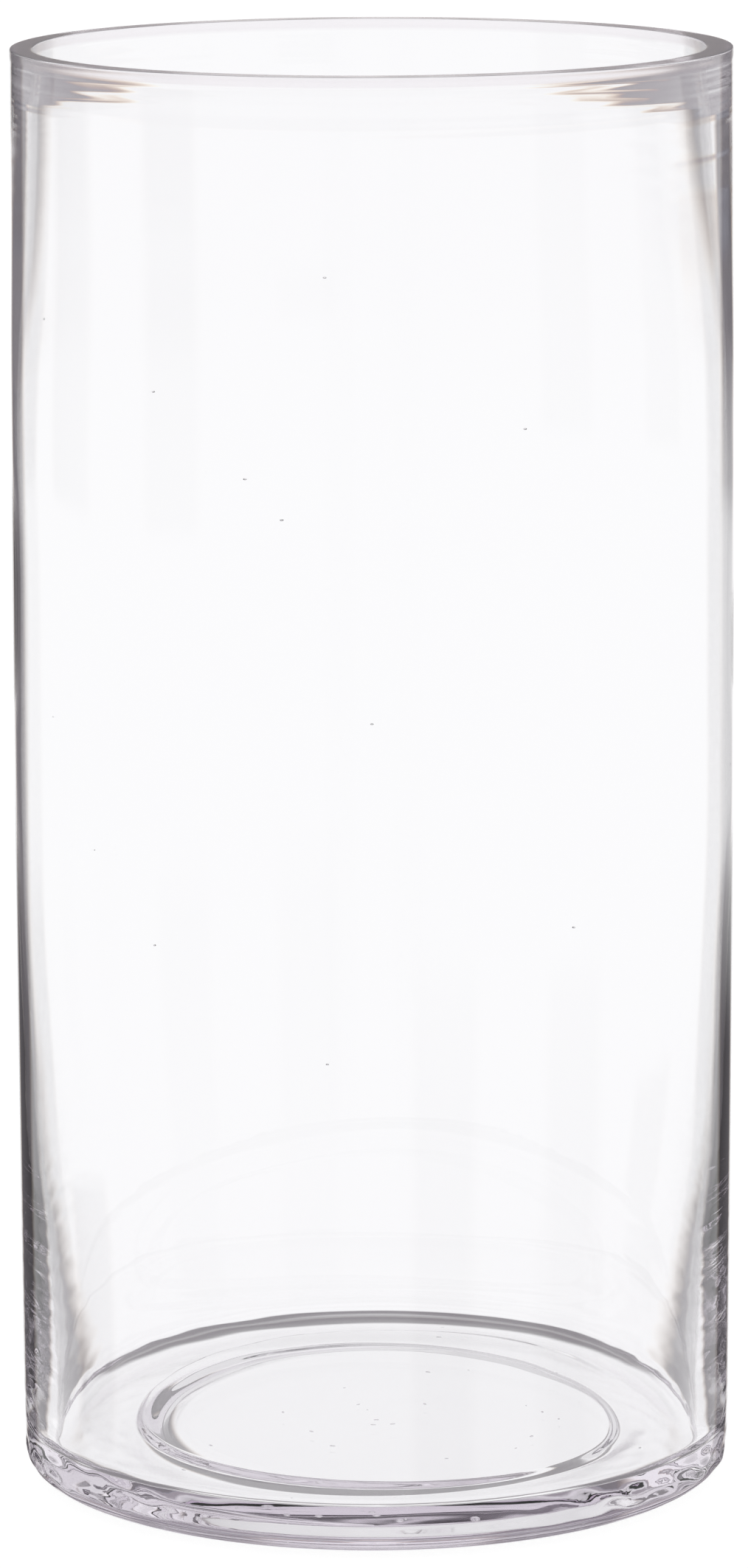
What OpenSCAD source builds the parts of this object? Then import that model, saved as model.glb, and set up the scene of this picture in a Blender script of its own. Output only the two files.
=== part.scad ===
// Glass cylinder vase: one piece of clear glass, a straight tube closed by a thick base.
// The wall is thick at the lip and at the foot, and thinner between them, as blown glass is.
// The origin is at the centre of the standing plane, +Z is up, and sizes are in millimetres.

/* [Body] */
// Outer diameter of the vase
outer_d = 152; // [100:1:250]
// Height from the standing plane to the top of the rim
height = 305; // [200:1:600]
// Thickness of the side wall over most of its height
side_wall = 2.2; // [1.6:0.1:5]

/* [Lip] */
// Thickness of the wall at the lip, where the mouth is narrowest
lip_wall = 5.2; // [5:0.1:8]
// Height of the straight part of the lip below the rim
lip_h = 12; // [4:1:20]
// Height over which the lip thins to the side wall
lip_run = 42; // [10:1:60]
// Width of the small bevel on each edge of the ground rim
rim_bevel = 0.6; // [0.2:0.1:1.2]

/* [Base] */
// Thickness of the glass from the standing plane to the inside floor
base_t = 11; // [8:0.5:20]
// Thickness of the wall just above the floor
foot_wall = 5; // [5:0.1:8]
// Height over which the foot thins to the side wall
foot_run = 70; // [20:1:80]
// Radius of the fillet between the inside wall and the floor
floor_fillet = 4; // [1:0.5:8]
// Radius of the rounded heel, where the side turns under
heel_r = 6; // [2:0.5:10]
// Share of the outer radius that the hollow under the base covers
recess_share = 0.68; // [0.4:0.01:0.75]
// Depth of the hollow under the base, at its middle
recess_depth = 2.5; // [0.5:0.1:4]

/* [Hidden] */
outer_r = outer_d / 2;
mouth_r = outer_r - lip_wall;
side_r = outer_r - side_wall;
foot_r = outer_r - foot_wall;
recess_r = outer_r * recess_share;
// Radius of the ball that cuts the hollow, from the hollow's own radius and depth
recess_ball_r = (recess_r * recess_r + recess_depth * recess_depth) / (2 * recess_depth);
$fn = 180;

// Outside: a cylinder with a rounded heel and a bevelled top edge
module outer_shape() {
    heel_centre = outer_r - heel_r;
    rotate_extrude() union() {
        square([heel_centre, height]);
        translate([0, heel_r]) square([outer_r, height - heel_r - rim_bevel]);
        polygon([
            [heel_centre, height - rim_bevel], [outer_r, height - rim_bevel],
            [outer_r - rim_bevel, height], [heel_centre, height]
        ]);
        translate([heel_centre, heel_r]) circle(heel_r);
    }
}

// Inside: a true cylinder at the mouth, then the thinner wall, the foot and a filleted flat floor
module inner_space() {
    fillet_centre = foot_r - floor_fillet;
    fillet_top = base_t + floor_fillet;
    above = 1;
    rotate_extrude() union() {
        polygon([
            [0, fillet_top], [foot_r, fillet_top],
            [side_r, fillet_top + foot_run], [side_r, height - lip_h - lip_run],
            [mouth_r, height - lip_h], [mouth_r, height - rim_bevel],
            [mouth_r + rim_bevel + above, height + above], [0, height + above]
        ]);
        translate([0, base_t]) square([fillet_centre, floor_fillet]);
        translate([fillet_centre, fillet_top]) circle(floor_fillet);
    }
}

// Shallow dome cut up into the underside, which leaves a flat standing ring round it
module base_recess() {
    translate([0, 0, recess_depth - recess_ball_r]) sphere(recess_ball_r);
}

module glass_body() {
    color([0.93, 0.94, 0.96, 0.35])
        difference() {
            outer_shape();
            inner_space();
            base_recess();
        }
}

glass_body();
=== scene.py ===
"""Glass cylinder vase: a lathed body of clear blown glass on a plain pale floor, in a soft light tent."""
import math
import random

import bpy
import numpy as np
from mathutils import Matrix, Vector


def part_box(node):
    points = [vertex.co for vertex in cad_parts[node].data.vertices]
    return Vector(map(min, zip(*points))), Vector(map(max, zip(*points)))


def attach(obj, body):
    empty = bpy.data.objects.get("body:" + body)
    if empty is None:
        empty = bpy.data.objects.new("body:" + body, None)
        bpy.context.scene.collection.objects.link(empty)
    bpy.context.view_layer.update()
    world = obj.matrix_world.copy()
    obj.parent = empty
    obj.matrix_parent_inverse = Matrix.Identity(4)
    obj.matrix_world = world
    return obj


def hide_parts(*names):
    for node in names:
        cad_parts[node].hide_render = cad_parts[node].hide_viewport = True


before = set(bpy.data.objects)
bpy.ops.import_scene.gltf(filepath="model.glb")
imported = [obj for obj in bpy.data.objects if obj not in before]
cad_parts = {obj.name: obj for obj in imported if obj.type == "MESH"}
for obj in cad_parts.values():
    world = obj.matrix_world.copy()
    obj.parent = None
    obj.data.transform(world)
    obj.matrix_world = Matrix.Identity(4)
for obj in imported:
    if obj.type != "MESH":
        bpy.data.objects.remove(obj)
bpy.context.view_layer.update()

MM = 0.001
DEG = math.pi / 180
LOW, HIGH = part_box("glass_body")
OUTER_R = (HIGH.x - LOW.x) / 2
# The ground rim ends just under the top of the CAD box
HEIGHT = HIGH.z - 0.4 * MM
SEGMENTS = 320


# ---------------------------------------------------------------- shape of the glass

# Wall thickness up the vase, as (height, thickness) in millimetres: thin between the foot and the lip
WALL = [(14, 6.2), (22, 6.0), (35, 5.3), (51, 4.2), (67, 3.1), (92, 2.15), (156, 1.45), (190, 1.35),
        (220, 1.5), (240, 2.1), (252, 2.7), (263, 3.2), (276, 3.75), (286, 4.1), (294, 4.4), (300, 4.95),
        (305, 5.4)]
BASE_T = 11 * MM
# How far the outside draws in at both ends, and under the lip
BARREL = 0.6 * MM
NECK = 0.2 * MM
# The rounded edge between the side and the standing ring
HEEL_RUN = 9.0 * MM
HEEL_RISE = 5.5 * MM
# The rim: a fine bevel on each edge, a low bead below it, and a bore that is a little off centre
BEVEL = 0.3 * MM
BEAD = 2.2 * MM
BEAD_OUT = 0.12 * MM
BORE_SHIFT = 0.5 * MM
# The hollow under the base
RECESS_R = 52 * MM
RECESS_DEPTH = 2.2 * MM
# The inside floor: a fillet, a valley, and a low tilted disc that is set to one side
FILLET_R = 1.5 * MM
VALLEY = 1.1 * MM
DISC_R = 55.5 * MM
DISC_X = 4 * MM
DISC_RISE = 0.85 * MM
DISC_TILT = 0.8


def smooth(low, high, x):
    """Smooth step from 0 at low to 1 at high."""
    t = np.clip((x - low) / (high - low), 0, 1)
    return t * t * (3 - 2 * t)


def wall_thickness(z):
    """Cubic curve through the WALL points, in metres."""
    heights = np.array([h for h, _ in WALL]) * MM
    walls = np.array([w for _, w in WALL]) * MM
    slopes = np.gradient(walls, heights)
    z = np.clip(z, heights[0], heights[-1])
    i = np.clip(np.searchsorted(heights, z) - 1, 0, len(heights) - 2)
    span = heights[i + 1] - heights[i]
    t = (z - heights[i]) / span
    return ((1 + 2 * t) * (1 - t) ** 2 * walls[i] + t * (1 - t) ** 2 * span * slopes[i]
            + t * t * (3 - 2 * t) * walls[i + 1] + t * t * (t - 1) * span * slopes[i + 1])


def outer_radius(z):
    """Outside of the wall: a touch barrelled, drawn in under the lip, with a low bead at the rim."""
    share = z / HEIGHT
    barrel = BARREL * (1 - 4 * share * (1 - share))
    neck = NECK * smooth(0.78, 0.88, share)
    bead = BEAD_OUT * smooth(HEIGHT - BEAD - 0.9 * MM, HEIGHT - BEAD + 0.9 * MM, z)
    return OUTER_R - barrel - neck + bead


def floor_height(x, y):
    """Inside floor: a low disc, set and tilted a little to one side, with a ring-shaped valley round it."""
    turn = np.arctan2(y, x - DISC_X)
    edge = DISC_R + 0.5 * MM * np.sin(2 * turn + 0.6)
    run = (2.8 + 1.3 * np.cos(turn)) * MM
    disc = 1 - smooth(edge - run, edge, np.hypot(x - DISC_X, y))
    tilt = 1 - DISC_TILT * (x - DISC_X) / DISC_R
    return BASE_T - VALLEY + DISC_RISE * disc * tilt


def under_height(x, y):
    """Underside: a flat-topped hollow with a sloped edge, widest on the left, then the standing ring."""
    turn = np.arctan2(y, x)
    edge = RECESS_R + 0.6 * MM * np.sin(3 * turn + 1.0)
    run = (5 - 3 * np.cos(turn)) * MM
    return RECESS_DEPTH * (1 - smooth(edge - run, edge, np.hypot(x, y)))


class Ripple:
    """A repeatable sum of sine waves round and up the vase, in the range -1 to 1."""

    def __init__(self, seed, waves, turns, lengths):
        dice = random.Random(seed)
        self.waves = []
        for _ in range(waves):
            lobes = dice.randint(*turns)
            slant = dice.choice((-1, 1))
            rate = slant * 2 * math.pi / (dice.uniform(*lengths) * MM)
            start = dice.uniform(0, 2 * math.pi)
            self.waves.append((lobes, rate, start, dice.uniform(0.5, 1)))

    def __call__(self, turn, z):
        total = sum(size for *_, size in self.waves)
        return sum(size * np.sin(lobes * turn + rate * z + start)
                   for lobes, rate, start, size in self.waves) / total


# Each ripple: seed, number of waves, range of lobes round the vase, range of wavelengths in millimetres
slow_out = Ripple(3, 7, (1, 4), (90, 260))
slow_in = Ripple(11, 9, (1, 6), (45, 160))
chill_out = Ripple(23, 12, (0, 2), (2.4, 6.5))
chill_in = Ripple(31, 10, (0, 3), (4, 11))
lip_marks = Ripple(71, 6, (0, 2), (1.6, 2.6))
heel_marks = Ripple(83, 14, (8, 44), (3.5, 10))
patchy = Ripple(47, 6, (2, 7), (30, 70))
swirl = Ripple(61, 8, (1, 5), (25, 60))
# Heights of the waves in the skin, in millimetres: slow waves, chill ripples and pebbles
SLOW_OUT = 0.04
SLOW_IN = 0.16
CHILL_OUT_FOOT = 0.07
CHILL_OUT_LIP = 0.005
CHILL_IN_FOOT = 0.006
CHILL_IN_LIP = 0.02
LIP_MARKS = 0.013
HEEL_PEBBLES = 0.6
RING_PEBBLES = 0.15
SWIRL_FLOOR = 0.06
SWIRL_UNDER = 0.03
# How far the skin is kept inside the true outside, all over and at the pebbled heel, in millimetres
SKIN_IN = 0.045
HEEL_IN = 0.3
# Extra ripple in some places, as a share of the ripple
PATCHY = 0.6


def hump(z, middle, width):
    """1 at the middle height, falling away over the width, both in millimetres."""
    return np.exp(-((z / MM - middle) / width) ** 2)


def uneven_sides(turn):
    """The heel is smooth at the front and the back, and pebbled at the two sides."""
    return np.abs(np.cos(turn)) ** 3


def outer_offset(turn, z):
    """What the blown glass adds to the radius of the outside, in metres."""
    marks = CHILL_OUT_FOOT * np.cos(turn) ** 8 * hump(z, 38, 28) + CHILL_OUT_LIP * hump(z, 290, 14)
    marks = marks * chill_out(turn, z)
    pebbled = uneven_sides(turn) * hump(z, 5, 6) * (HEEL_IN + HEEL_PEBBLES * heel_marks(turn, z))
    return (SLOW_OUT * slow_out(turn, z) - SKIN_IN - pebbled + marks * (1 + PATCHY * patchy(turn, z))) * MM


def inner_offset(turn, z):
    """What the blown glass adds to the radius of the inside, in metres."""
    marks = (CHILL_IN_FOOT * hump(z, 48, 30) + CHILL_IN_LIP * hump(z, 286, 16)) * chill_in(turn, z)
    marks = marks + LIP_MARKS * hump(z, 295, 9) * lip_marks(turn, z)
    return (SLOW_IN * slow_in(turn, z) + marks * (1 + PATCHY * patchy(turn, z))) * MM


def stretch(start, stop, step):
    """Evenly spaced values from start up to but not including stop."""
    return np.linspace(start, stop, max(2, int(round(abs(stop - start) / step)) + 1))[:-1]


def outline():
    """Rows as (region, radius, height), from under the middle, up the outside and down the inside."""
    heel_r = float(outer_radius(0.0)) - HEEL_RUN
    rim_out = float(outer_radius(HEIGHT))
    rim_in = rim_out - float(wall_thickness(HEIGHT))
    wall_foot = BASE_T + FILLET_R
    inner_r = float(outer_radius(wall_foot) - wall_thickness(wall_foot))
    under = [0.2 * MM, *stretch(2 * MM, 47 * MM, 3 * MM), *stretch(47 * MM, 54 * MM, 0.4 * MM),
             *stretch(54 * MM, heel_r, 1.2 * MM)]
    outside = [*stretch(HEEL_RISE, 90 * MM, 0.8 * MM), *stretch(90 * MM, 272 * MM, 3 * MM),
               *stretch(272 * MM, HEIGHT - 4 * MM, 0.7 * MM),
               *stretch(HEIGHT - 4 * MM, HEIGHT - BEVEL, 0.2 * MM)]
    inside = [*stretch(HEIGHT - BEVEL, 270 * MM, 0.35 * MM), *stretch(270 * MM, 90 * MM, 3 * MM),
              *stretch(90 * MM, wall_foot, 1.0 * MM)]
    floor = [*stretch(inner_r - FILLET_R, 48 * MM, 0.5 * MM), *stretch(48 * MM, 2 * MM, 3 * MM), 0.2 * MM]
    rows = [("under", r, 0.0) for r in under]
    for a in stretch(0, math.pi / 2, math.pi / 32):
        rows.append(("heel", heel_r + HEEL_RUN * math.sin(a), HEEL_RISE * (1 - math.cos(a))))
    rows += [("outside", float(outer_radius(z)), z) for z in outside]
    for a in stretch(0, math.pi / 2, math.pi / 8):
        rows.append(("rim_out", rim_out - BEVEL * (1 - math.cos(a)), HEIGHT - BEVEL * (1 - math.sin(a))))
    for r in stretch(rim_out - BEVEL, rim_in + BEVEL, 0.6 * MM):
        rows.append(("rim_out" if r > (rim_out + rim_in) / 2 else "rim_in", r, HEIGHT))
    for a in stretch(math.pi / 2, 0, math.pi / 8):
        rows.append(("rim_in", rim_in + BEVEL * (1 - math.cos(a)), HEIGHT - BEVEL * (1 - math.sin(a))))
    rows += [("inside", float(outer_radius(z) - wall_thickness(z)), z) for z in inside]
    for a in stretch(0, math.pi / 2, math.pi / 28):
        rows.append(("fillet", inner_r - FILLET_R * (1 - math.cos(a)), wall_foot - FILLET_R * math.sin(a)))
    rows += [("floor", r, 0.0) for r in floor]
    return rows


def row_points(region, r, z, turn):
    """The points of one row, with the blown glass's own unevenness."""
    if region == "outside":
        r = r + outer_offset(turn, z)
    elif region in ("inside", "fillet"):
        r = r + inner_offset(turn, z) * smooth(BASE_T, BASE_T + 12 * MM, z)
    elif region == "rim_out":
        r = r + outer_offset(turn, HEIGHT - BEVEL)
    elif region == "rim_in":
        r = r + inner_offset(turn, HEIGHT - BEVEL)
    r = r * np.ones(SEGMENTS)
    x = r * np.cos(turn)
    y = r * np.sin(turn)
    if region in ("inside", "rim_in"):
        x = x - BORE_SHIFT * smooth(250 * MM, HEIGHT, z)
    if region == "heel":
        share = 1 + outer_offset(turn, z) * smooth(0, HEEL_RISE, z) / r
        x = x * share
        y = y * share
    elif region == "fillet":
        z = z + (floor_height(x, y) - BASE_T) * smooth(BASE_T + FILLET_R, BASE_T, z)
    elif region == "floor":
        inside_fillet = smooth(0, 20 * MM, r) * (1 - smooth(60 * MM, 65 * MM, r))
        z = floor_height(x, y) + SWIRL_FLOOR * MM * swirl(turn, r) * inside_fillet
    elif region == "under":
        in_hollow = smooth(0, 20 * MM, r) * (1 - smooth(44 * MM, 48 * MM, r))
        on_ring = smooth(53 * MM, 57 * MM, r) * smooth(66 * MM, 62 * MM, r)
        pebbled = RING_PEBBLES * MM * uneven_sides(turn) * (1 + heel_marks(turn, r)) * on_ring
        z = under_height(x, y) + SWIRL_UNDER * MM * swirl(turn, r) * in_hollow + pebbled
    return np.stack([x, y, z * np.ones(SEGMENTS)], 1)


def seed_bubbles(count=46):
    """Tiny air bubbles left in the base and the wall, as (centre, radius, stretch direction)."""
    dice = random.Random(5)
    in_base = count * 2 // 3
    bubbles = []
    for i in range(count):
        turn = dice.uniform(0, 2 * math.pi)
        radius = dice.uniform(0.10, 0.24) * MM
        if i < in_base:
            radius *= 1.4
            r = 62 * MM * math.sqrt(dice.random())
            z = dice.uniform(4.5, 8) * MM
        else:
            z = dice.uniform(30, 285) * MM
            r = float(outer_radius(z) - wall_thickness(z) / 2)
        centre = Vector((r * math.cos(turn), r * math.sin(turn), z))
        bubbles.append((centre, radius, turn + math.pi / 2))
    return bubbles


def bubble_mesh(centre, radius, direction, sides=10, rings=6):
    """Points and inward faces of one bubble, drawn out to twice its width."""
    along = Vector((math.cos(direction), math.sin(direction), 0)) * radius * 2
    across = Vector((-math.sin(direction), math.cos(direction), 0)) * radius
    upward = Vector((0, 0, radius))
    points = [centre - along]
    for ring in range(1, rings):
        a = math.pi * ring / rings
        for side in range(sides):
            b = 2 * math.pi * side / sides
            points.append(centre - along * math.cos(a)
                          + (across * math.cos(b) + upward * math.sin(b)) * math.sin(a))
    points.append(centre + along)
    last = len(points) - 1
    faces = []
    for side in range(sides):
        beside = (side + 1) % sides
        faces.append((0, 1 + side, 1 + beside))
        faces.append((last, last - sides + beside, last - sides + side))
        for ring in range(rings - 2):
            here = 1 + ring * sides
            faces.append((here + side, here + sides + side, here + sides + beside, here + beside))
    return points, faces


def vase_mesh():
    """The closed skin of the vase and the inward skins of its bubbles, as one mesh."""
    rows = outline()
    turn = np.linspace(0, 2 * math.pi, SEGMENTS, endpoint=False)
    vertices = [tuple(v) for v in np.concatenate([row_points(*row, turn) for row in rows])]
    faces = []
    for row in range(len(rows) - 1):
        here = row * SEGMENTS
        up = here + SEGMENTS
        for i in range(SEGMENTS):
            j = (i + 1) % SEGMENTS
            faces.append((here + i, here + j, up + j, up + i))
    last = (len(rows) - 1) * SEGMENTS
    faces.append(tuple(range(SEGMENTS - 1, -1, -1)))
    faces.append(tuple(range(last, last + SEGMENTS)))
    for bubble in seed_bubbles():
        points, sides = bubble_mesh(*bubble)
        faces += [tuple(len(vertices) + i for i in side) for side in sides]
        vertices += [tuple(point) for point in points]
    mesh = bpy.data.meshes.new("vase_glass")
    mesh.from_pydata(vertices, [], faces)
    mesh.validate()
    mesh.polygons.foreach_set("use_smooth", [True] * len(mesh.polygons))
    mesh.update()
    return mesh


# ---------------------------------------------------------------- materials

class Nodes:
    """Short calls to build a node tree."""

    def __init__(self, tree):
        self.tree = tree
        tree.nodes.clear()

    def add(self, kind, operation=None, **inputs):
        """A node with its inputs linked or set. _0, _1 and so on name an input by its number."""
        node = self.tree.nodes.new(kind)
        if operation:
            node.operation = operation
        for name, value in inputs.items():
            socket = node.inputs[int(name[1:]) if name[1:].isdigit() else name.replace("_", " ")]
            if isinstance(value, bpy.types.NodeSocket):
                self.tree.links.new(value, socket)
            else:
                socket.default_value = value
        return node

    def math(self, operation, a, b=0.0):
        """One step of arithmetic on numbers or outputs."""
        return self.add("ShaderNodeMath", operation, _0=a, _1=b).outputs[0]

    def ramp(self, value, start, stop, low=0.0, high=1.0):
        """Smooth change from low to high as value goes from start to stop."""
        node = self.add("ShaderNodeMapRange", _0=value, _1=start, _2=stop, _3=low, _4=high)
        node.interpolation_type = "SMOOTHSTEP"
        return node.outputs[0]

    def blend(self, share, a, b):
        """Number or colour from a to b by share."""
        return self.math("ADD", self.math("MULTIPLY", a, self.math("SUBTRACT", 1.0, share)),
                         self.math("MULTIPLY", b, share))


# Roughness of the ground rim face, and of the worn standing ring and the band under the rim
RIM_ROUGH = 0.04
WORN_ROUGH = 0.12


def glass_material():
    """Clear glass with a faint grey-lilac body, ground places, finger film, slow waves, and painted shade on
    the lip band.
    """
    material = bpy.data.materials.new("clear_glass")
    material.use_nodes = True
    n = Nodes(material.node_tree)
    place = n.add("ShaderNodeTexCoord").outputs["Object"]
    height = n.add("ShaderNodeSeparateXYZ", Vector=place).outputs["Z"]
    smudge = n.add("ShaderNodeTexNoise", Vector=place, Scale=38.0, Detail=5.0, Roughness=0.6).outputs["Fac"]
    grit = n.add("ShaderNodeTexNoise", Vector=place, Scale=2400.0, Detail=2.0).outputs["Fac"]
    rim = n.ramp(height, HEIGHT - 0.15 * MM, HEIGHT - 0.03 * MM)
    # The bead mask gives the band under the rim its real worn roughness, and also carries the painted shade
    # of the lip band below
    bead = n.ramp(height, HEIGHT - BEAD - 0.2 * MM, HEIGHT - BEAD + 0.2 * MM)
    stand = n.ramp(height, 0.3 * MM, 0.05 * MM)
    worn = n.math("MAXIMUM", stand, bead)
    ground = n.math("MAXIMUM", n.math("MULTIPLY", rim, RIM_ROUGH), n.math("MULTIPLY", worn, WORN_ROUGH))
    # Painted shade: from the bead up to the rim the glass is tinted a little darker and grey-lilac, standing
    # in for the darker look of the rim
    red, green, blue = [n.blend(bead, 1.0, tone) for tone in (0.955, 0.935, 0.95)]
    colour = n.add("ShaderNodeCombineColor", Red=red, Green=green, Blue=blue).outputs[0]
    film = n.ramp(smudge, 0.5, 0.8, 0.0, 0.012)
    grain = n.math("ADD", 0.7, n.math("MULTIPLY", grit, 0.6))
    rough = n.math("ADD", film, n.math("MULTIPLY", ground, grain))
    wave = n.add("ShaderNodeTexNoise", Vector=place, Scale=26.0, Detail=2.0, Roughness=0.4).outputs["Fac"]
    bump = n.add("ShaderNodeBump", Strength=0.05, Distance=0.4 * MM, Height=wave)
    shader = n.add("ShaderNodeBsdfPrincipled", Base_Color=colour, Roughness=rough, IOR=1.5,
                   Transmission_Weight=1.0, Normal=bump.outputs["Normal"])
    body = n.add("ShaderNodeVolumeAbsorption", Color=(0.937, 0.915, 0.943, 1), Density=20.0)
    n.add("ShaderNodeOutputMaterial", Surface=shader.outputs[0], Volume=body.outputs[0])
    return material


def floor_material():
    """A floor that shines almost white, so that only a faint contact shadow shows."""
    material = bpy.data.materials.new("pale_floor")
    material.use_nodes = True
    n = Nodes(material.node_tree)
    place = n.add("ShaderNodeTexCoord").outputs["Object"]
    cloud = n.add("ShaderNodeTexNoise", Vector=place, Scale=3.0, Detail=3.0).outputs["Fac"]
    tone = n.ramp(cloud, 0.3, 0.7, 0.12, 0.14)
    colour = n.add("ShaderNodeCombineColor", Red=tone, Green=tone, Blue=tone).outputs[0]
    shader = n.add("ShaderNodeBsdfPrincipled", Base_Color=colour, Roughness=0.9, Emission_Color=(1, 1, 1, 1),
                   Emission_Strength=0.93)
    n.add("ShaderNodeOutputMaterial", Surface=shader.outputs[0])
    return material


# ---------------------------------------------------------------- light tent, floor and camera

# Brightness of the tent: its panels, the gaps between them, the dark underneath, and the sky in three steps
PANEL = 0.972
GAP = 0.19
UNDER = 0.22
LOW_SKY = 0.34
MID_SKY = 0.78
CEILING = 0.8
# Angle from the middle of one panel to the middle of the next gap
HALF_PANEL = 22.5


def tent_strength(n, up, turn, shift, tint):
    """Brightness of one colour of the tent, from the angles above the horizon and from straight ahead."""

    def fade(angle, start, stop, low=0.0, high=1.0):
        return n.ramp(angle, start * DEG, stop * DEG, low, high)

    def both(a, b):
        return n.math("MULTIPLY", a, b)

    def either(a, b):
        return n.math("MAXIMUM", a, b)

    aside = n.math("ABSOLUTE", turn)
    # How dark the gaps are in each direction: ahead, low on the left, behind on the right, and steeply down
    pale_right = both(both(fade(up, -12.5, -11), fade(up, -6.5, -8)), fade(turn, 0, 8, 0.0, 0.6))
    ahead = both(fade(aside, 50, 40), n.math("SUBTRACT", 1.0, pale_right))
    left = both(both(fade(up, -6.5, -5, 0.0, 0.55), fade(turn, -50, -60)), fade(turn, -130, -120))
    behind = both(fade(up, -11.5, -14, 0.0, 0.4), fade(turn, 92, 98))
    steep = both(both(fade(up, -19, -21), fade(turn, 0, -10)), fade(turn, -100, -90))
    depth = either(either(ahead, steep), either(left, behind))
    off_panel = n.math("PINGPONG", turn, HALF_PANEL * DEG)
    gap = both(fade(off_panel, 10 + shift, 15 + shift), depth)
    below = n.blend(gap, PANEL, GAP * tint)
    under = both(fade(up, -30, -36), fade(up, -56, -48))
    below = n.blend(under, below, UNDER * tint)
    # The dark low sky starts higher straight ahead and at the sides, so that it shows in the lip's corners
    sky = n.blend(fade(up, 25, 40), fade(up, 7, 13, LOW_SKY * tint, MID_SKY), CEILING)
    lift = either(fade(aside, 4.5, 1, 0.0, 2.5 * DEG), fade(aside, 60, 70, 0.0, 3 * DEG))
    above = fade(n.math("SUBTRACT", up, lift), 1.1 + shift, 2.6 + shift)
    return n.blend(above, below, sky)


def light_tent():
    """White where the camera looks, and for the glass a tent with soft dark gaps between its panels."""
    world = bpy.data.worlds.new("light_tent")
    bpy.context.scene.world = world
    world.use_nodes = True
    n = Nodes(world.node_tree)
    way = n.add("ShaderNodeTexCoord").outputs["Generated"]
    xyz = n.add("ShaderNodeSeparateXYZ", Vector=way).outputs
    up = n.math("ARCSINE", xyz["Z"])
    turn = n.math("ARCTAN2", xyz["X"], xyz["Y"])
    # The edges of each colour are shifted a little, in place of the colour fringes of real glass, and the
    # dark has less green, which makes it a touch lilac
    red, green, blue = [tent_strength(n, up, turn, shift, tint)
                        for shift, tint in ((0.15, 1.0), (0.0, 0.93), (-0.15, 1.0))]
    blue = n.math("MULTIPLY", blue, 1.012)
    colour = n.add("ShaderNodeCombineColor", Red=red, Green=green, Blue=blue).outputs[0]
    tent = n.add("ShaderNodeBackground", Color=colour, Strength=1.0).outputs[0]
    plain = n.add("ShaderNodeBackground", Color=(1, 1, 1, 1), Strength=1.0).outputs[0]
    direct = n.add("ShaderNodeLightPath").outputs["Is Camera Ray"]
    both = n.add("ShaderNodeMixShader", _0=direct, _1=tent, _2=plain).outputs[0]
    n.add("ShaderNodeOutputWorld", Surface=both)


def pale_floor():
    """A wide plain floor. The glass sees the lower tent in its place, which keeps the vase bright."""
    mesh = bpy.data.meshes.new("floor")
    half = 6.0
    drop = -0.15 * MM
    corners = [(-half, -half, drop), (half, -half, drop), (half, half, drop), (-half, half, drop)]
    mesh.from_pydata(corners, [], [(0, 1, 2, 3)])
    floor = bpy.data.objects.new("floor", mesh)
    bpy.context.scene.collection.objects.link(floor)
    mesh.materials.append(floor_material())
    floor.visible_transmission = False
    floor.visible_glossy = False


CAMERA_PLACE = (0, -1.5745, 0.4371)
CAMERA_LENS = 173.5
# How far the camera looks down, and leans to one side, in degrees
CAMERA_DOWN = 10.39
CAMERA_LEAN = 0.206


def camera():
    """At the viewing angle of a product shot: a long lens, from a little above the rim."""
    data = bpy.data.cameras.new("camera")
    data.lens = CAMERA_LENS
    data.clip_start = 0.1
    data.clip_end = 100
    cam = bpy.data.objects.new("camera", data)
    bpy.context.scene.collection.objects.link(cam)
    aim = Matrix.Rotation(math.radians(90 - CAMERA_DOWN), 4, "X")
    lean = Matrix.Rotation(math.radians(-CAMERA_LEAN), 4, "Z")
    cam.matrix_world = Matrix.Translation(CAMERA_PLACE) @ aim @ lean
    bpy.context.scene.camera = cam


def build_vase():
    """The one piece of the vase, in place of the CAD body."""
    vase = bpy.data.objects.new("vase_glass", vase_mesh())
    bpy.context.scene.collection.objects.link(vase)
    vase.data.materials.append(glass_material())
    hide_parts("glass_body")
    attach(vase, "root")


def view_settings():
    """Plain colours, and enough bounces for light that crosses four or more walls of glass."""
    scene = bpy.context.scene
    scene.view_settings.view_transform = "Standard"
    scene.cycles.max_bounces = 32
    scene.cycles.transmission_bounces = 32
    scene.cycles.glossy_bounces = 16
    scene.cycles.sample_clamp_indirect = 8


build_vase()
light_tent()
pale_floor()
camera()
view_settings()
